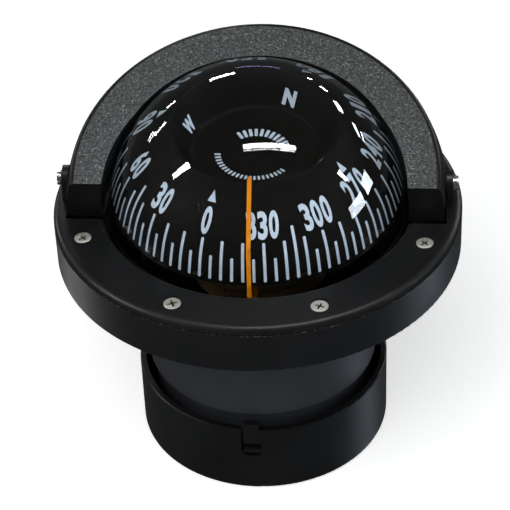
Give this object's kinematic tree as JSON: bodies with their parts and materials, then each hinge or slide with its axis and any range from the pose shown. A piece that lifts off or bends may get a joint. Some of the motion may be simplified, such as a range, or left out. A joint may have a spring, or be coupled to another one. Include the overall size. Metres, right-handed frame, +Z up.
{
  "type": "binnacle compass",
  "caption": "Marine steering compass: round screwed flange, liquid-filled clear dome over a black conical card with an orange lubber line, swinging hood, body tube with a clamp sleeve.",
  "frame": {"origin": "centre of the foot, on the surface it stands on", "axes": "+Z up through the dome, -Y towards the helmsman (the lubber line side), +X to the right"},
  "size_m": [0.13, 0.13, 0.1323],
  "materials": {
    "black_plastic": "satin moulded black",
    "hood_texture": "fine sand-textured dark grey",
    "clear_dome": "clear polished acrylic",
    "card_black": "matt black with pale markings",
    "lubber_orange": "orange enamel",
    "stainless": "stainless",
    "brass": "turned brass",
    "rubber": "matt black rubber",
    "foam_white": "white closed-cell foam",
    "magnet_steel": "dull magnet steel",
    "lamp_red": "red lamp glass",
    "clear_lens": "clear lens",
    "sapphire": "jewel cup"
  },
  "bodies": {
    "housing": {"flange_ring": "black_plastic", "panel_gasket": "rubber", "bezel_ring": "black_plastic", "bezel_screws": "stainless", "dome": "clear_dome", "dome_gasket": "rubber", "dome_seal": "rubber", "visor_screws": "stainless", "visor_washers": "rubber", "body_tube": "black_plastic", "gimbal_support": "black_plastic", "bulkhead": "black_plastic", "bulkhead_seal": "rubber", "bulkhead_clamp_ring": "brass", "diaphragm": "rubber", "diaphragm_ring": "brass", "diaphragm_screws": "stainless", "filler_plug": "brass", "lamp_lens": "clear_lens", "lamp_bulb": "lamp_red", "lamp_socket": "black_plastic", "compensator_block": "black_plastic", "bottom_cover": "black_plastic", "cover_seal": "rubber", "cover_screws": "stainless", "cable_grommet": "rubber"},
    "visor": {"visor_hood": "hood_texture"},
    "gimbal": {"gimbal_ring": "brass", "gimbal_pins": "stainless"},
    "cradle": {"cradle_frame": "brass", "counterweight": "brass", "pivot_post": "brass", "pivot_pin": "stainless", "lubber_line": "lubber_orange"},
    "card": {"card_dial": "card_black", "card_float": "foam_white", "card_magnets": "magnet_steel", "jewel_cup": "sapphire"},
    "ns_trim": {"ns_spindle": "brass", "ns_magnet": "magnet_steel"},
    "ew_trim": {"ew_spindle": "brass", "ew_magnet": "magnet_steel"},
    "sleeve": {"clamp_sleeve": "black_plastic"}
  },
  "joints": [
    {"name": "visor_swing", "type": "hinge", "parent": "housing", "child": "visor", "pos_m": [0, 0, 0.095], "axis": [1, 0, 0], "range_deg": [0, 90]},
    {"name": "gimbal_pitch", "type": "hinge", "parent": "housing", "child": "gimbal", "pos_m": [0, 0, 0.085], "axis": [1, 0, 0], "range_deg": [-25, 25]},
    {"name": "gimbal_roll", "type": "hinge", "parent": "gimbal", "child": "cradle", "pos_m": [0, 0, 0.085], "axis": [0, 1, 0], "range_deg": [-25, 25]},
    {"name": "card_turn", "type": "hinge", "parent": "cradle", "child": "card", "pos_m": [0, 0, 0.094], "axis": [0, 0, 1], "continuous": true},
    {"name": "ns_trim_turn", "type": "hinge", "parent": "housing", "child": "ns_trim", "pos_m": [-0.009, 0, 0.034], "axis": [0, 1, 0], "continuous": true},
    {"name": "ew_trim_turn", "type": "hinge", "parent": "housing", "child": "ew_trim", "pos_m": [0, -0.003, 0.034], "axis": [1, 0, 0], "continuous": true},
    {"name": "sleeve_slide", "type": "slide", "parent": "housing", "child": "sleeve", "axis": [0, 0, 1], "range_m": [0, 0.0205]}
  ]
}
